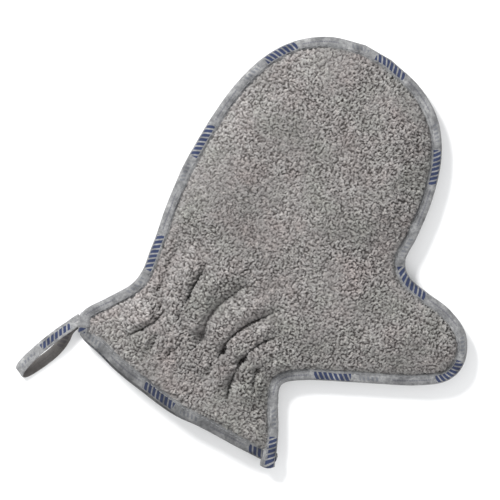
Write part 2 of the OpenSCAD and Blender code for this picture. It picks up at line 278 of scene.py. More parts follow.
def slack(x, y, seed):
    """Soft random hollows and swells of cloth that lies loose."""
    return 1.0 * noise(x, y, 46, seed) + 0.75 * noise(x, y, 21, seed + 1)


def inner_z(side, x, y):
    """The pocket's ceiling or floor, which carries on smoothly past the hem."""
    rise = swell(FROM_SIDE(x, y)) * girth(y)
    if side == "back":
        return SEAM_Z + CLOTH_GAP / 2 + BACK_RISE * rise
    return SEAM_Z - CLOTH_GAP / 2 - PALM_RISE * rise


def clear_of_tape(side, x, y):
    """0 on the tape, growing to 1 where the cloth is free to gather."""
    depth, hem_depth = (f(x, y) for f in DEPTHS[side])
    return smoothstep((depth - 7.5) / 6) * smoothstep((hem_depth - 6.5) / 7)


def ground_z(side, x, y):
    """The knitted ground, which follows the gathers less than the pile does."""
    if side == "back":
        return inner_z(side, x, y) + 0.5 * clear_of_tape(side, x, y) * GATHERS(x, y)
    return inner_z(side, x, y)


def outer_z(side, x, y):
    """The plush's outer skin without its tufts."""
    depth, hem_depth = (f(x, y) for f in DEPTHS[side])
    body = smoothstep((depth - 7.2) / 2.8) * smoothstep((hem_depth - 7.0) / 4.0)
    thick = FLANGE_T + (PLUSH_T - TUFT_ROOM - FLANGE_T) * body
    loose = smoothstep((depth - 10) / 14) * smoothstep((hem_depth - 8) / 8)
    settle = clear_of_tape(side, x, y)
    if side == "back":
        return (inner_z(side, x, y) + thick + loose * slack(x, y, 3) + settle * GATHERS(x, y)
                + settle * SETTLED(x, y))
    return inner_z(side, x, y) - thick - settle * 0.6 * GATHERS(x, y)


# ---- Cloth settling ----
SETTLED = Field(np.zeros(Field.X.shape))
SETTLE_PITCH = 4.0
SETTLE_FRAMES = 30
SETTLE_LIMIT = 2.6
SETTLE_SHARE = 0.85


def settle_cloth():
    """Simulate the back panel, held by its tape and elastic, and keep how far it sinks and buckles."""
    x, y, quads = lattice("back", SETTLE_PITCH, 2.0, 2.0)
    z = outer_z("back", x, y)
    depth, hem_depth = (f(x, y) for f in DEPTHS["back"])
    near_wrist = distance_to(x, y, WRIST)[0]
    cloth = new_object("settling_cloth", np.stack([x, y, z], 1), quads)
    pin = cloth.vertex_groups.new(name="pin")
    gather = cloth.vertex_groups.new(name="gather")
    held = np.maximum(1 - smoothstep((depth - 7) / 6), 0.8 * np.exp(-((near_wrist / 6) ** 2)))
    held = np.maximum(held, 1 - smoothstep((hem_depth - 6) / 5))
    drawn = np.exp(-((near_wrist / 14) ** 2))
    for k in range(len(x)):
        pin.add([k], float(held[k]), "REPLACE")
        gather.add([k], float(drawn[k]), "REPLACE")
    modifier = cloth.modifiers.new("settle", "CLOTH")
    spring = modifier.settings
    spring.quality = 8
    spring.mass = 0.02
    spring.tension_stiffness = 40
    spring.compression_stiffness = 12
    spring.shear_stiffness = 8
    spring.bending_stiffness = 3
    spring.vertex_group_mass = "pin"
    spring.vertex_group_shrink = "gather"
    spring.shrink_min = -0.02
    spring.shrink_max = -0.06
    spring.effector_weights.gravity = 0.04
    modifier.point_cache.frame_end = SETTLE_FRAMES
    scene = bpy.context.scene
    for number in range(1, SETTLE_FRAMES + 1):
        scene.frame_set(number)
    settled = cloth.evaluated_get(bpy.context.evaluated_depsgraph_get())
    spots = np.empty(len(x) * 3)
    settled.data.vertices.foreach_get("co", spots)
    fall = (spots.reshape(-1, 3)[:, 2] - ORIGIN[2]) / MM - z
    fall = SETTLE_SHARE * SETTLE_LIMIT * np.tanh(fall / SETTLE_LIMIT)
    scene.frame_set(1)
    bpy.data.objects.remove(cloth, do_unlink=True)
    columns = np.round((x - PLAN_LOW[0]) / SETTLE_PITCH).astype(int)
    rows = np.round((y - PLAN_LOW[1]) / SETTLE_PITCH).astype(int)
    coarse = np.zeros((rows.max() + 2, columns.max() + 2))
    coarse[rows, columns] = fall
    inner = coarse[1:-1, 1:-1]
    coarse[1:-1, 1:-1] = (2 * inner + coarse[:-2, 1:-1] + coarse[2:, 1:-1] + coarse[1:-1, :-2]
                          + coarse[1:-1, 2:]) / 6
    u = np.clip((Field.X - PLAN_LOW[0]) / SETTLE_PITCH, 0, coarse.shape[1] - 1.001)
    v = np.clip((Field.Y - PLAN_LOW[1]) / SETTLE_PITCH, 0, coarse.shape[0] - 1.001)
    i, j = u.astype(int), v.astype(int)
    u, v = smoothstep(u - i), smoothstep(v - j)
    return Field((coarse[j, i] * (1 - u) + coarse[j, i + 1] * u) * (1 - v)
                 + (coarse[j + 1, i] * (1 - u) + coarse[j + 1, i + 1] * u) * v)


# ---- Pile ----
TUFT_PITCH = 1.55
TUFT_HEIGHT = 1.4


def tufts(x, y, seed):
    """Curled tufts of microfibre: height from 0 to 1, a random tint, and the way each one leans."""
    tint, high = np.zeros(x.shape), np.zeros(x.shape)
    lean_x, lean_y = np.zeros(x.shape), np.zeros(x.shape)
    flow = 1.6 * noise(x, y, 24, seed + 11) + 0.9
    warp_x = x + 0.5 * noise(x, y, 3.1, seed + 21)
    warp_y = y + 0.5 * noise(x, y, 3.1, seed + 22)
    ci, cj = np.floor(warp_x / TUFT_PITCH), np.floor(warp_y / TUFT_PITCH)
    for di in (-1, 0, 1):
        for dj in (-1, 0, 1):
            i, j = ci + di, cj + dj
            r = [scatter(i, j, seed + k) for k in range(5)]
            dx = warp_x - (i + 0.5 + 0.75 * (r[0] - 0.5)) * TUFT_PITCH
            dy = warp_y - (j + 0.5 + 0.75 * (r[1] - 0.5)) * TUFT_PITCH
            turn = flow + (r[2] - 0.5) * 2.6
            c, s = np.cos(turn), np.sin(turn)
            u, v = dx * c + dy * s, dy * c - dx * s
            v = v + (r[3] - 0.5) * 0.7 * u * u
            v = v / TUFT_PITCH * 2.2
            u = u / TUFT_PITCH * 2.2
            q = (u / (1.3 + 0.95 * r[3])) ** 2 + (v / (0.8 + 0.45 * r[4])) ** 2
            h = (0.55 + 0.45 * r[4]) * np.sqrt(np.clip(1 - q, 0, 1))
            won = h > high
            high = np.where(won, h, high)
            tint = np.where(won, r[0], tint)
            lean_x = np.where(won, c * h, lean_x)
            lean_y = np.where(won, s * h, lean_y)
    return high, tint, lean_x, lean_y


def new_object(name, vertices, faces, material=None, uv=None, **point_values):
    mesh = bpy.data.meshes.new(name)
    mesh.from_pydata((np.asarray(vertices) * MM + ORIGIN).tolist(), [], np.asarray(faces).tolist()
                     if isinstance(faces, np.ndarray) else faces)
    mesh.update()
    mesh.polygons.foreach_set("use_smooth", np.ones(len(mesh.polygons), bool))
    for key, values in point_values.items():
        made = mesh.attributes.new(key, "FLOAT", "POINT")
        made.data.foreach_set("value", np.asarray(values, np.float32).ravel())
    if uv is not None:
        corner = np.empty(len(mesh.loops), np.int32)
        mesh.loops.foreach_get("vertex_index", corner)
        layer = mesh.uv_layers.new(name="UVMap")
        layer.data.foreach_set("uv", np.asarray(uv, np.float32)[corner].ravel())
    if material is not None:
        mesh.materials.append(material)
    thing = bpy.data.objects.new(name, mesh)
    bpy.context.scene.collection.objects.link(thing)
    return thing


def lattice(side, pitch, side_margin, hem_margin):
    """Points and quads of a square lattice that stays inside the panel by the two margins."""
    x, y = np.meshgrid(*(np.arange(low, high, pitch) for low, high in zip(PLAN_LOW, PLAN_HIGH)))
    depth, hem_depth = (f(x, y) for f in DEPTHS[side])
    keep = (depth > side_margin) & (hem_depth > hem_margin)
    cells = keep[:-1, :-1] & keep[1:, :-1] & keep[:-1, 1:] & keep[1:, 1:]
    used = np.zeros(keep.shape, bool)
    for part in (used[:-1, :-1], used[1:, :-1], used[:-1, 1:], used[1:, 1:]):
        part |= cells
    index = np.full(keep.shape, -1)
    index[used] = np.arange(used.sum())
    quads = np.stack([index[:-1, :-1], index[:-1, 1:], index[1:, 1:], index[1:, :-1]], -1)[cells]
    return x[used], y[used], quads


def surface_normals(side, x, y):
    step = 0.8
    dzdx = (outer_z(side, x + step, y) - outer_z(side, x - step, y)) / (2 * step)
    dzdy = (outer_z(side, x, y + step) - outer_z(side, x, y - step)) / (2 * step)
    up = np.stack([-dzdx, -dzdy, np.ones_like(x)], 1)
    up /= np.linalg.norm(up, axis=1)[:, None]
    return up if side == "back" else -up


def plush(side, pitch, material):
    x, y, quads = lattice(side, pitch, 5.4, 5.0)
    base = np.stack([x, y, outer_z(side, x, y)], 1)
    high, tint, lean_x, lean_y = tufts(x, y, 5 if side == "back" else 60)
    depth = DEPTHS[side][0](x, y)
    hem_depth = DEPTHS[side][1](x, y)
    grown = smoothstep((depth - 6.4) / 2.0) * smoothstep((hem_depth - 5.6) / 2.4)
    lively = 0.62 + 0.38 * np.clip(0.5 + 0.9 * noise(x, y, 15, 17) + 0.5 * noise(x, y, 6, 18), 0, 1)
    lively = lively + 0.05 * np.clip(GATHERS(x, y), -5, 4) if side == "back" else lively
    high = 0.5 + (high - 0.5) * np.clip(lively, 0.35, 1.1)
    height = TUFT_HEIGHT * grown * (high - 0.25 + 0.12 * noise(x, y, 1.3, 9))
    place = base + height[:, None] * surface_normals(side, x, y)
    place[:, 0] += 0.55 * grown * lean_x
    place[:, 1] += 0.55 * grown * lean_y
    if side == "palm":
        place[:, 2] = np.maximum(place[:, 2], TABLE_GAP)
        quads = quads[:, ::-1]
    # The nap attribute carries painted light and shade.
    return new_object(side + "_plush", place, quads, material, pile=high, tint=tint, nap=painted_light_tone(x, y))


# Patches of painted light and painted shade on the plush: place, radius and change of tone.
PAINTED_LIGHT_PATCHES = [(-46, 108, 20, -0.16), (-18, 116, 18, -0.16), (-62, 82, 12, -0.1), (-58, 40, 15, 0.22),
       (-62, 22, 14, 0.2), (-66, 170, 24, 0.12), (40, -2, 16, 0.2), (-40, 22, 12, -0.12),
       (48, 46, 10, 0.16), (20, 30, 9, -0.14), (0, 190, 26, -0.05), (70, 190, 18, 0.08)]


def painted_light_tone(x, y):
    # Painted light and shade: broad random swells of tone, plus the listed patches.
    tone = 0.5 + 0.15 * noise(x, y, 30, 51) + 0.08 * noise(x, y, 12, 52)
    for px, py, reach, change in PAINTED_LIGHT_PATCHES:
        tone = tone + change * np.exp(-(np.hypot(x - px, y - py) / reach) ** 2)
    return np.clip(tone, 0, 1)


def ground_cloth(side, material):
    """The knitted ground that carries the pile, seen inside the mitt."""
    x, y, quads = lattice(side, 2.4, 1.3, 1.0)
    z = ground_z(side, x, y)
    if side == "back":
        quads = quads[:, ::-1]
    return new_object(side + "_ground_cloth", np.stack([x, y, z], 1), quads, material)


# ---- Tapes ----


def tube_faces(rings, ring):
    """Quads between rings of points, each ring a closed loop of ring points."""
    r = np.arange(rings - 1)[:, None] * ring
    k = np.arange(ring)[None, :]
    m = (k + 1) % ring
    return np.stack([r + k, r + m, r + m + ring, r + k + ring], -1).reshape(-1, 4).tolist()


def capped_tube(rings, ring, flipped):
    """The faces of a tube with both its ends closed."""
    faces = tube_faces(rings, ring)
    if flipped:
        faces = [face[::-1] for face in faces]
    return faces + [list(range(ring)), [(rings - 1) * ring + k for k in reversed(range(ring))]]


def thread_faces(base, rings, ring):
    """The faces of one closed piece of thread, whose points start at base."""
    faces = [[base + k for k in face] for face in tube_faces(rings, ring)]
    faces.append([base + ring - 1 - k for k in range(ring)])
    faces.append([base + ring * (rings - 1) + k for k in range(ring)])
    return faces


def tape_section(width, half, thick):
    """The folded tape across: (depth from the fold, height), outer skin first, then back inside."""
    skin = [(1.0, 0.66), (0.93, 0.84), (0.78, 0.97), (0.6, 1.0), (0.42, 0.99), (0.25, 0.93),
            (0.12, 0.78), (0.04, 0.52), (0.0, 0.18)]
    skin = skin + [(d, -h) for d, h in reversed(skin)]
    outer = np.array([(d * width, h * half) for d, h in skin])
    inner = np.array([(max(d * width, thick) if 0 < n < len(skin) - 1 else d * width,
                       np.sign(h) * max(abs(h) * half - thick, 0.15))
                      for n, (d, h) in enumerate(skin)])[::-1]
    inner[:, 0] = np.clip(inner[:, 0] + 0.25, thick, width)
    across = np.concatenate([np.linspace(0, 1, len(skin)), np.linspace(1, 0, len(skin))])
    return np.vstack([outer, inner]), across


PRINT_REPEAT = 81.0
PRINT_START = 0.48
# How far a cut tape end is rounded outwards.
END_NOSE = 1.5


def tape_strip(name, curve, inward, level, material, seed, half=None, width=None, ends=(1, 1), offset=0.0,
               reading=1):
    """A folded tape along curve. inward is the plan direction into the cloth, level(spot) its height."""
    section, across = tape_section(TAPE_W, TAPE_HALF, TAPE_T)
    count, ring = len(curve), len(section)
    along = directions(curve[:, :2])
    run = np.concatenate([[0], np.cumsum(np.linalg.norm(np.diff(curve[:, :2], axis=0), axis=1))])
    stretch = 1 + 0.05 * noise(run, 0 * run, 17, seed) + 0.035 * noise(run, 0 * run, 6, seed + 1)
    if width is not None:
        stretch = stretch * width
    tall = np.ones(count) if half is None else half
    ease = np.ones(count)
    for n in range(4):
        drop = (0.35, 0.72, 0.92, 0.98)[n]
        ease[n] = min(ease[n], drop if ends[0] else 1)
        ease[-1 - n] = min(ease[-1 - n], drop if ends[1] else 1)
    points = np.empty((count, ring, 3))
    for k, (d, h) in enumerate(section):
        depth = d * stretch
        ripple = 1 + 0.085 * noise(run, 0 * run + 9 * across[k], 4.2, seed + 2)
        ripple += 0.06 * noise(run, 0 * run + 14 * across[k], 11, seed + 3)
        edge_wave = 0.35 * noise(run, 0 * run, 7.5, seed + 5) * smoothstep((d / TAPE_W - 0.6) / 0.4)
        spot = curve[:, :2] + inward * (depth + edge_wave)[:, None]
        nose = END_NOSE * (1 - (2 * min(d / TAPE_W, 1) - 1) ** 2)
        for n in range(4):
            share = (4 - n) / 4
            spot[n] -= ends[0] * along[0] * nose * share
            spot[-1 - n] += ends[1] * along[-1] * nose * share
        points[:, k, :2] = spot
        points[:, k, 2] = level(spot) + h * tall * ease * ripple
    uv = np.empty((count, ring, 2))
    uv[:, :, 0] = (reading * run / PRINT_REPEAT + offset)[:, None]
    uv[:, :, 1] = across[None, :]
    faces = tube_faces(count, ring)
    n = len(section) // 2
    last = (count - 1) * ring
    for k in range(n - 1):
        faces.append([k + 1, k, ring - 1 - k, ring - 2 - k])
        faces.append([last + k, last + k + 1, last + ring - 2 - k, last + ring - 1 - k])
    return new_object(name, points.reshape(-1, 3), faces, material, uv.reshape(-1, 2))


def edge_curve(pitch):
    curve, run = evenly(OUTLINE, pitch)
    along = directions(curve)
    return curve, np.stack([along[:, 1], -along[:, 0]], 1), run


def hem_curve(side, pitch):
    curve, run = evenly(smooth(BACK_HEM if side == "back" else PALM_HEM, 8), pitch)
    along = directions(curve)
    return curve, np.stack([-along[:, 1], along[:, 0]], 1), run


def hem_level(side):
    lift = FLANGE_T / 2 if side == "back" else -FLANGE_T / 2

    def level(spot):
        return inner_z(side, spot[:, 0], spot[:, 1]) + lift

    return level


def edge_binding(material):
    curve, inward, run = edge_curve(0.9)
    width = 1.06 + 0.16 * smoothstep((28 - (run[-1] - run)) / 22)
    return tape_strip("edge_binding_tape", curve, inward,
                      lambda spot: np.full(len(spot), SEAM_Z), material, 31, width=width,
                      offset=PRINT_START)


def hem_binding(side, material):
    curve, inward, run = hem_curve(side, 0.9)
    from_end = np.minimum(run, run[-1] - run)
    squeeze = 0.32 + 0.3 * smoothstep((from_end - 8) / 14)
    curve = curve[3:-3]
    width = np.full(len(curve), 1.12)
    return tape_strip(side + "_hem_tape", curve, inward[3:-3], hem_level(side), material,
                      71 if side == "back" else 91, half=squeeze[3:-3], width=width,
                      offset=0.235 if side == "back" else 0.6, reading=-1)


# ---- Stitching ----


def stitches(name, curve, up, material, pitch=3.6, gap=0.9, size=THREAD_D):
    """A row of short thread stitches along a 3D curve, each one plump in its middle."""
    line, run = evenly(curve, 0.45)
    high = np.stack([np.interp(run, np.linspace(0, run[-1], len(up)), up[:, k]) for k in range(3)], 1)
    along = directions(line)
    side = np.cross(along, high)
    side /= np.linalg.norm(side, axis=1)[:, None]
    vertices, faces = [], []
    per = max(4, int((pitch - gap) / 0.45) + 1)
    stride = int(round(pitch / 0.45))
    angle = np.arange(6) * math.pi / 3
    for first in range(2, len(line) - per - 2, stride):
        base = len(vertices)
        for n in range(per):
            k = first + n
            plump = math.sin(math.pi * (n + 0.5) / per)
            radius = size / 2 * (0.55 + 0.45 * plump)
            centre = line[k] + high[k] * (0.28 * plump - 0.1) * size * 2
            for a in angle:
                vertices.append(centre + radius * (math.cos(a) * side[k] + math.sin(a) * high[k]))
        faces += thread_faces(base, per, len(angle))
    return new_object(name, vertices, faces, material)


def edge_stitch_rows(material):
    curve, inward, _ = edge_curve(1.2)
    spot = curve + inward * (TAPE_W - 1.6)
    made = []
    for label, sign in (("top", 1), ("under", -1)):
        line = np.column_stack([spot, np.full(len(spot), SEAM_Z + sign * TAPE_HALF * 0.99)])
        made.append(stitches("edge_stitches_" + label, line, np.tile((0, 0, sign), (len(line), 1)), material))
    return made


def hem_stitch_row(side, material):
    curve, inward, run = hem_curve(side, 1.2)
    curve, inward, run = curve[8:-8], inward[8:-8], run[8:-8]
    spot = curve + inward * (TAPE_W - 1.6)
    sign = 1 if side == "back" else -1
    from_end = np.minimum(run, run[-1] - run)
    half = TAPE_HALF * (0.32 + 0.3 * smoothstep((from_end - 8) / 14))
    line = np.column_stack([spot, hem_level(side)(spot) + sign * half * 1.02])
    return stitches(side + "_hem_stitches", line, np.tile((0, 0, sign), (len(line), 1)), material)


# ---- Hanging loop ----
UP = np.array((0, 0, 1.0))
# The first and last steps of the edge tape under the corner tab.
TAB_SPAN = (3, 15)
BARTACK_BARS = 7
BARTACK_RINGS = 15
BARTACK_W = 6.0
# Cloth that lies on the table stops this far above it.
TABLE_GAP = 0.02


def loop_point(route):
    """Points given as (out, across, up) from the loop's root, on the mitt's own grid."""
    out, across, up = np.hsplit(np.atleast_2d(route), 3)
    return LOOP_PIVOT + out * LOOP_HEADING + across * LOOP_ACROSS + up * UP


def hanging_loop(material):
    route, run = evenly(smooth(LOOP_ROUTE, 8), 0.7)
    along = directions(route)
    face = np.stack([-along[:, 2], 0 * run, along[:, 0]], 1)
    face /= np.linalg.norm(face, axis=1)[:, None]
    across = [(-1, 0), (-0.97, 0.7), (-0.8, 1), (-0.4, 0.9), (0, 0.84), (0.4, 0.9), (0.8, 1), (0.97, 0.7),
              (1, 0), (0.97, -0.7), (0.8, -0.95), (0.3, -0.85), (-0.3, -0.85), (-0.8, -0.95), (-0.97, -0.7)]
    shade, points, uv = [], [], []
    for a, h in across:
        width = LOOP_W / 2 * (1 + 0.05 * noise(run, 0 * run, 13, 5))
        ripple = 0.12 * noise(run, 0 * run + 5 * a, 5, 8)
        q = route + face * (h * LOOP_T / 2 + ripple)[:, None]
        q[:, 1] += a * width
        points.append(loop_point(q))
        uv.append(np.stack([0.42 + (21 - run) / PRINT_REPEAT, np.full(len(run), 0.26 + 0.22 * a)], 1))
        # Painted shade: marks the tape's face on the inside of the loop, which the tape material darkens.
        shade.append(np.full(len(run), 1.0 if h < 0 else 0.0))
    ring = len(across)
    points = np.stack(points, 1).reshape(-1, 3)
    uv = np.stack(uv, 1).reshape(-1, 2)
    shade = np.stack(shade, 1).reshape(-1)
    faces = capped_tube(len(run), ring, flipped=True)
    points[:, 2] = np.maximum(points[:, 2], TABLE_GAP)
    return new_object("hanging_loop_tape", points, faces, material, uv, inner=shade)


def corner_tab(material):
    """A short fold of tape wrapped over the edge tape where the loop is sewn in."""
    curve, inward, _ = edge_curve(0.9)
    first, last = TAB_SPAN
    width = np.full(last - first, 1.14)
    return tape_strip("corner_tab", curve[first:last] - 0.5 * inward[first:last], inward[first:last],
                      lambda spot: np.full(len(spot), SEAM_Z), material, 7,
                      half=np.full(last - first, 1.2), width=width, offset=0.93)


def loop_bartack(material):
    """Threads sewn to and fro across the loop's ends, under the edge tape."""
    vertices, faces = [], []
    angle = np.arange(8) * math.pi / 4
    for bar in range(BARTACK_BARS):
        base = len(vertices)
        for n in range(BARTACK_RINGS):
            share = n / (BARTACK_RINGS - 1)
            out = -3.0 - 0.62 * bar + 0.12 * noise(n * 0.35, bar * 3.7, 1, 5)
            low = -1.15 - 0.12 * math.sin(math.pi * share) + 0.05 * noise(n * 0.6, bar, 1, 6)
            centre = loop_point((out, (share - 0.5) * BARTACK_W, low))[0]
            radius = THREAD_D / 2 * (0.7 + 0.3 * math.sin(math.pi * share))
            for a in angle:
                vertices.append(centre + radius * (math.cos(a) * LOOP_HEADING + math.sin(a) * UP))
        faces += thread_faces(base, BARTACK_RINGS, len(angle))
    return new_object("loop_bartack_thread", vertices, faces, material)


# ---- Wrist elastics, inside the mitt ----
ELASTIC_W = 6.0
ELASTIC_T = 1.0
ELASTIC_ENDS = (-50.0, 42.0)


def elastic_line(pitch):
    line = evenly(WRIST, pitch)[0]
    line = line[(line[:, 0] > ELASTIC_ENDS[0]) & (line[:, 0] < ELASTIC_ENDS[1])]
    along = directions(line)
    return line, np.stack([-along[:, 1], along[:, 0]], 1), np.arange(len(line)) * pitch


def wrist_elastic(side, material, thread):
    """A ribbed elastic under the ground cloth, and the zigzag thread on its free face."""
    sign = 1 if side == "back" else -1
    line, across, run = elastic_line(0.8)
    points = []
    section = [(-0.5, 0), (-0.3, 0.12), (0, 0.14), (0.3, 0.12), (0.5, 0), (0.5, 1), (0.3, 1.1),
               (0, 1.12), (-0.3, 1.1), (-0.5, 1)]
    for d, t in section:
        spot = line + across * (d * ELASTIC_W)
        ripple = 0.16 * np.sin(run * 2 * math.pi / 3.4)
        z = ground_z(side, spot[:, 0], spot[:, 1]) - sign * (0.5 + t * ELASTIC_T + ripple)
        points.append(np.column_stack([spot, z]))
    ring = len(section)
    faces = capped_tube(len(line), ring, flipped=side == "back")
    strip = new_object(side + "_elastic_strip", np.stack(points, 1).reshape(-1, 3), faces, material)
    swing = np.abs(2 * ((run / 3.3) % 1) - 1) * 2 - 1
    spot = line + across * (swing * (ELASTIC_W / 2 - 1))[:, None]
    z = ground_z(side, spot[:, 0], spot[:, 1]) - sign * (0.5 + 1.3 * ELASTIC_T + THREAD_D / 2)
    route = np.column_stack([spot, z])
    zigzag = stitches(side + "_zigzag_thread", route, np.tile((0, 0, -sign), (len(route), 1)), thread,
                      pitch=3.15, gap=0.45, size=THREAD_D * 0.8)
    return strip, zigzag


# ---- Materials ----


class Graph:
    """A material's nodes, with sockets linked or set as they are named."""

    def __init__(self, name):
        self.material = bpy.data.materials.new(name)
        self.material.use_nodes = True
        self.tree = self.material.node_tree
        self.shader = self.tree.nodes["Principled BSDF"]

    def put(self, node, key, value):
        socket = node.inputs[key]
        if isinstance(value, bpy.types.NodeSocket):
            self.tree.links.new(value, socket)
        else:
            socket.default_value = value

    def add(self, kind, out=0, settings=None, **inputs):
        node = self.tree.nodes.new("ShaderNode" + kind)
        for key, value in (settings or {}).items():
            setattr(node, key, value)
        for key, value in inputs.items():
            name = int(key[1:]) if key[1:].isdigit() and key[0] == "i" else key.replace("_", " ")
            self.put(node, name, value)
        return node.outputs[out]

    def math(self, operation, a, b=0.0, clamp=False):
        return self.add("Math", settings={"operation": operation, "use_clamp": clamp}, i0=a, i1=b)

    def value(self, attribute):
        return self.add("Attribute", out="Fac", settings={"attribute_name": attribute})

    def noise(self, scale, detail=2.0, rough=0.5, vector=None):
        inputs = {"Scale": scale, "Detail": detail, "Roughness": rough}
        inputs["Vector"] = vector or self.add("TexCoord", out="Object")
        return self.add("TexNoise", **inputs)

    def mix(self, share, a, b, blend="MIX"):
        node = self.tree.nodes.new("ShaderNodeMix")
        node.data_type, node.blend_type = "RGBA", blend
        self.put(node, 0, share)
        self.put(node, 6, a)
        self.put(node, 7, b)
        return node.outputs[2]

    def ramp(self, share, stops):
        node = self.tree.nodes.new("ShaderNodeValToRGB")
        self.put(node, 0, share)
        while len(node.color_ramp.elements) < len(stops):
            node.color_ramp.elements.new(0.5)
        for element, (place, colour) in zip(node.color_ramp.elements, stops):
            element.position, element.color = place, (*colour, 1)
        return node.outputs[0]

    def bump(self, height, strength, distance, normal=None):
        inputs = {"Height": height, "Strength": strength, "Distance": distance}
        if normal is not None:
            inputs["Normal"] = normal
        return self.add("Bump", **inputs)

    def finish(self, **inputs):
        for key, value in inputs.items():
            self.put(self.shader, key.replace("_", " "), value)
        return self.material


def rgb(r, g, b):
    return (r, g, b, 1)


def plush_material():
    g = Graph("plush_microfibre")
    pile = g.value("pile")
    fibre = g.noise(1500, 2, 0.6)
    height = g.math("ADD", pile, g.math("MULTIPLY", g.math("SUBTRACT", fibre, 0.5), 0.55), True)
    # Painted shade: the lower the pile, the darker, so the crevices between tufts are dark and the tips
    # light.
    colour = g.ramp(height, [(0.0, (0.038, 0.033, 0.030)), (0.3, (0.100, 0.092, 0.089)),
                             (0.6, (0.193, 0.184, 0.178)), (1.0, (0.335, 0.323, 0.315))])
    # The nap attribute paints light and shade in broad patches over the plush.
    colour = g.mix(1.0, colour, g.ramp(g.value("nap"), [(0.0, (0.72, 0.71, 0.71)), (0.5, (1, 1, 1)),
                                                        (1.0, (1.3, 1.3, 1.3))]), "MULTIPLY")
    tint = g.value("tint")
    colour = g.mix(1.0, colour, g.ramp(tint, [(0.0, (0.86, 0.85, 0.85)), (0.5, (1.0, 1.0, 1.0)),
                                              (1.0, (1.12, 1.1, 1.08))]), "MULTIPLY")
    patch = g.noise(34, 3, 0.6)
    colour = g.mix(1.0, colour, g.ramp(patch, [(0.3, (1.05, 0.985, 0.98)), (0.5, (1, 1, 1)),
                                               (0.7, (0.97, 1.01, 0.975))]), "MULTIPLY")
    rough = g.math("ADD", 0.86, g.math("MULTIPLY", fibre, 0.12))
    curl = g.noise(900, 2, 0.65)
    normal = g.bump(g.math("ADD", fibre, curl), 1.0, 0.0009)
    return g.finish(Base_Color=colour, Roughness=rough, Normal=normal, Sheen_Weight=0.18,
                    Sheen_Roughness=0.55, Specular_IOR_Level=0.15)


def knit_material():
    g = Graph("knitted_ground")
    uv = g.add("TexCoord", out="Object")
    wale = g.add("TexWave", out="Fac", settings={"wave_type": "BANDS", "bands_direction": "X"},
                 Vector=uv, Scale=260.0, Distortion=0.6, Detail=1.0)
    course = g.add("TexWave", out="Fac", settings={"wave_type": "BANDS", "bands_direction": "Y"},
                   Vector=uv, Scale=200.0, Distortion=0.8, Detail=1.0)
    loops = g.math("MULTIPLY", wale, course)
    patch = g.noise(60, 3)
    colour = g.mix(loops, rgb(0.20, 0.19, 0.185), rgb(0.36, 0.345, 0.335))
    colour = g.mix(0.25, colour, g.ramp(patch, [(0.3, (0.2, 0.19, 0.19)), (0.7, (0.4, 0.38, 0.37))]))
    return g.finish(Base_Color=colour, Roughness=g.math("ADD", 0.8, g.math("MULTIPLY", patch, 0.15)),
                    Normal=g.bump(loops, 0.5, 0.0003), Sheen_Weight=0.15)


def band(g, value, low, high):
    """1 where value lies between low and high."""
    return g.math("MULTIPLY", g.math("GREATER_THAN", value, low), g.math("LESS_THAN", value, high))


def bars(g, along, across, first, last, pitch, slant, half, centre, fill=0.5):
    """Slanted bars between two places along the tape, within half of the centre line."""
    lean = g.math("ADD", along, g.math("MULTIPLY", across, slant))
    stripe = g.math("LESS_THAN", g.math("FRACT", g.math("DIVIDE", lean, pitch)), fill)
    off = g.math("ABSOLUTE", g.math("SUBTRACT", across, centre))
    row = g.math("LESS_THAN", off, half)
    return g.math("MULTIPLY", g.math("MULTIPLY", stripe, row), band(g, along, first, last))


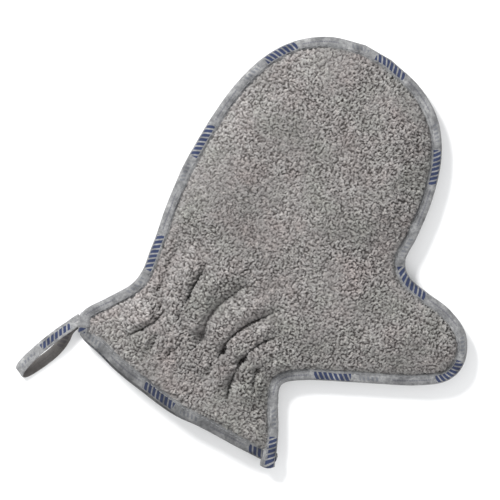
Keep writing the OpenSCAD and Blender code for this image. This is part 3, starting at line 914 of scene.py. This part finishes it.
def tape_material(name, shade):
    """Woven tape with a bar print; shade multiplies its whole colour, darker as painted shade below 1 and
    plainly lighter above 1.
    """
    g = Graph(name)
    uv = g.add("UVMap")
    parts = g.tree.nodes.new("ShaderNodeSeparateXYZ")
    g.tree.links.new(uv, parts.inputs[0])
    along = g.math("FRACT", parts.outputs[0])
    across = parts.outputs[1]
    folded = g.math("SUBTRACT", 0.5, g.math("ABSOLUTE", g.math("SUBTRACT", across, 0.5)))
    weave_in = g.add("Mapping", Vector=uv, Scale=(133.0, 16.0, 1.0))
    warp = g.add("TexWave", out="Fac", settings={"wave_type": "BANDS", "bands_direction": "X"},
                 Vector=weave_in, Scale=0.55, Distortion=1.2, Detail=1.0)
    weft = g.add("TexWave", out="Fac", settings={"wave_type": "BANDS", "bands_direction": "Y"},
                 Vector=weave_in, Scale=0.6, Distortion=1.2, Detail=1.0)
    weave = g.math("MULTIPLY", warp, weft)
    nap = g.noise(1400, 3, 0.6)
    cloud = g.noise(150, 3, 0.6)
    nub = g.noise(620, 3, 0.7)
    colour = g.ramp(cloud, [(0.25, (0.095, 0.096, 0.098)), (0.5, (0.157, 0.158, 0.160)),
                            (0.75, (0.215, 0.215, 0.215))])
    colour = g.mix(1.0, colour, g.ramp(nub, [(0.3, (0.6, 0.6, 0.61)), (0.5, (1, 1, 1)),
                                             (0.7, (1.36, 1.35, 1.33))]), "MULTIPLY")
    colour = g.mix(g.math("MULTIPLY", weave, 0.3), colour, rgb(0.23, 0.231, 0.235))
    colour = g.mix(g.math("MULTIPLY", nap, 0.3), colour, rgb(0.1, 0.101, 0.105))
    grey = bars(g, along, folded, 0.04, 0.20, 0.036, 0.1, 0.06, 0.25, 0.5)
    navy = bars(g, along, folded, 0.27, 0.57, 0.041, 0.14, 0.115, 0.26, 0.66)
    line = bars(g, along, folded, 0.61, 0.93, 0.02, 0.0, 0.02, 0.24, 0.8)
    colour = g.mix(g.math("MULTIPLY", grey, 0.62), colour, rgb(0.07, 0.075, 0.09))
    colour = g.mix(g.math("MULTIPLY", navy, 0.93), colour, rgb(0.007, 0.015, 0.052))
    colour = g.mix(g.math("MULTIPLY", line, 0.7), colour, rgb(0.07, 0.07, 0.085))
    smudge = g.ramp(g.noise(75, 4, 0.65), [(0.34, (0.66, 0.66, 0.67)), (0.5, (1, 1, 1)),
                                           (0.66, (1.22, 1.22, 1.21))])
    colour = g.mix(1.0, colour, smudge, "MULTIPLY")
    # Painted shade where shade is below 1; above 1 the tape is only made lighter.
    colour = g.mix(1.0, colour, rgb(shade, shade, shade), "MULTIPLY")
    # Painted shade on the inside face of the loop, marked by the inner attribute.
    inner = g.value("inner")
    colour = g.mix(g.math("MULTIPLY", inner, 0.8), colour, rgb(0.07, 0.062, 0.057))
    height = g.math("ADD", g.math("MULTIPLY", weave, 0.5), nap)
    return g.finish(Base_Color=colour, Roughness=g.math("ADD", 0.7, g.math("MULTIPLY", nap, 0.2)),
                    Normal=g.bump(height, 0.4, 0.0003), Sheen_Weight=0.12, Specular_IOR_Level=0.25)


def thread_material():
    g = Graph("spun_thread")
    ply = g.add("TexWave", out="Fac", settings={"wave_type": "BANDS", "bands_direction": "DIAGONAL"},
                Vector=g.add("TexCoord", out="Object"), Scale=700.0, Distortion=0.5)
    wear = g.noise(400, 2)
    colour = g.mix(ply, rgb(0.085, 0.088, 0.096), rgb(0.17, 0.173, 0.18))
    colour = g.mix(g.math("MULTIPLY", wear, 0.3), colour, rgb(0.23, 0.23, 0.235))
    return g.finish(Base_Color=colour, Roughness=g.math("ADD", 0.5, g.math("MULTIPLY", wear, 0.2)),
                    Normal=g.bump(ply, 0.6, 0.0001), Sheen_Weight=0.1)


def elastic_material():
    g = Graph("ribbed_elastic")
    place = g.add("TexCoord", out="Object")
    rib = g.add("TexWave", out="Fac", settings={"wave_type": "BANDS", "bands_direction": "Y"},
                Vector=place, Scale=300.0, Distortion=0.4)
    knit = g.noise(1500, 2)
    colour = g.mix(rib, rgb(0.52, 0.52, 0.5), rgb(0.78, 0.78, 0.75))
    colour = g.mix(g.math("MULTIPLY", knit, 0.3), colour, rgb(0.6, 0.59, 0.56))
    return g.finish(Base_Color=colour, Roughness=g.math("ADD", 0.6, g.math("MULTIPLY", knit, 0.2)),
                    Normal=g.bump(rib, 0.6, 0.0003), Sheen_Weight=0.1)


def floor_material():
    """A pale table that is faintly lit from below, so that shadows on it stay soft and narrow."""
    g = Graph("pale_light_table")
    grain = g.noise(9, 2)
    colour = g.mix(g.math("MULTIPLY", grain, 0.3), rgb(0.79, 0.79, 0.79), rgb(0.77, 0.77, 0.775))
    return g.finish(Base_Color=colour, Roughness=0.85, Specular_IOR_Level=0.1,
                    Emission_Color=rgb(1.0, 1.0, 1.0), Emission_Strength=FLOOR_GLOW)


# ---- Stage ----
FLOOR_GLOW = 0.04
SKY = 0.72
KEY_WATTS = 50.0
FILL_WATTS = 22.0


def stage():
    mesh = bpy.data.meshes.new("floor")
    far = 6.0
    mesh.from_pydata([(-far, -far, 0), (far, -far, 0), (far, far, 0), (-far, far, 0)], [], [(0, 1, 2, 3)])
    floor = bpy.data.objects.new("floor", mesh)
    mesh.materials.append(floor_material())
    bpy.context.scene.collection.objects.link(floor)
    world = bpy.data.worlds.new("studio")
    bpy.context.scene.world = world
    world.use_nodes = True
    world.node_tree.nodes["Background"].inputs["Color"].default_value = (0.97, 0.985, 1.0, 1)
    world.node_tree.nodes["Background"].inputs["Strength"].default_value = SKY
    view = bpy.context.scene.view_settings
    view.view_transform, view.look = "Standard", "None"
    area_light("key_light", (-1.25, 0.52, 1.15), 0.6, KEY_WATTS)
    area_light("fill_light", (1.2, -0.6, 1.5), 1.6, FILL_WATTS)


def area_light(name, place, size, watts):
    data = bpy.data.lights.new(name, "AREA")
    data.shape, data.size, data.energy = "DISK", size, watts
    lamp = bpy.data.objects.new(name, data)
    lamp.location = place
    lamp.rotation_mode = "QUATERNION"
    lamp.rotation_quaternion = (-Vector(place)).to_track_quat("-Z", "Y")
    bpy.context.scene.collection.objects.link(lamp)


# The camera looks straight down from CAMERA_UP, turned so that the fingers point up and to the right.
CAMERA_UP = 3.0
VIEW_SPAN = 0.330
VIEW_CENTRE = (-8.2, 107.3)


def camera():
    data = bpy.data.cameras.new("camera")
    data.sensor_width = 36.0
    data.lens = data.sensor_width * CAMERA_UP / VIEW_SPAN
    data.clip_end = 50
    eye = bpy.data.objects.new("camera", data)
    middle = np.array((*VIEW_CENTRE, SEAM_Z)) * MM + ORIGIN
    eye.location = (middle[0], middle[1], middle[2] + CAMERA_UP)
    eye.rotation_euler = (0, 0, math.radians(30))
    bpy.context.scene.collection.objects.link(eye)
    bpy.context.scene.camera = eye


# ---- The mitt ----
edge_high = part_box("edge_binding")[1]
ORIGIN = np.array((edge_high[0] - OUTLINE[:, 0].max() * MM, edge_high[1] - OUTLINE[:, 1].max() * MM, 0.0))

camera()
stage()
PLUSH, KNIT, THREAD, ELASTIC = plush_material(), knit_material(), thread_material(), elastic_material()
TAPE = tape_material("printed_tape", 1.0)
# The hem tapes take a darker copy of the tape: painted shade.
CUFF_TAPE = tape_material("painted_shade_tape", 0.66)
# The loop takes a copy of the tape made 1.25 times lighter.
LOOP_TAPE = tape_material("lightened_loop_tape", 1.25)
SETTLED = settle_cloth()

for side in ("back", "palm"):
    pile = plush(side, 0.55 if side == "back" else 0.8, PLUSH)
    ground = ground_cloth(side, KNIT)
    hem = hem_binding(side, CUFF_TAPE)
    thread = hem_stitch_row(side, THREAD)
    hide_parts(side + "_panel")
    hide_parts(side + "_hem_binding")
    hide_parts(side + "_hem_stitching")
    for piece, slot in ((pile, "plush"), (ground, "plush"), (hem, "binding_tape"), (thread, "thread")):
        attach(piece, "mitt")

binding = edge_binding(TAPE)
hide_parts("edge_binding")
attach(binding, "mitt")
for row in edge_stitch_rows(THREAD):
    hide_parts("edge_stitching")
    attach(row, "mitt")

for piece, slot in ((corner_tab(TAPE), "binding_tape"), (loop_bartack(THREAD), "thread")):
    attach(piece, "mitt")
    if slot == "thread":
        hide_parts("loop_bartack")
for side in ("back", "palm"):
    strip, zigzag = wrist_elastic(side, ELASTIC, THREAD)
    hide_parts(side + "_wrist_elastic")
    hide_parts(side + "_elastic_stitching")
    for piece, slot in ((strip, "elastic"), (zigzag, "thread")):
        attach(piece, "mitt")

loop = hanging_loop(LOOP_TAPE)
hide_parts("hanging_loop", "loop_anchor")
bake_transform(loop)
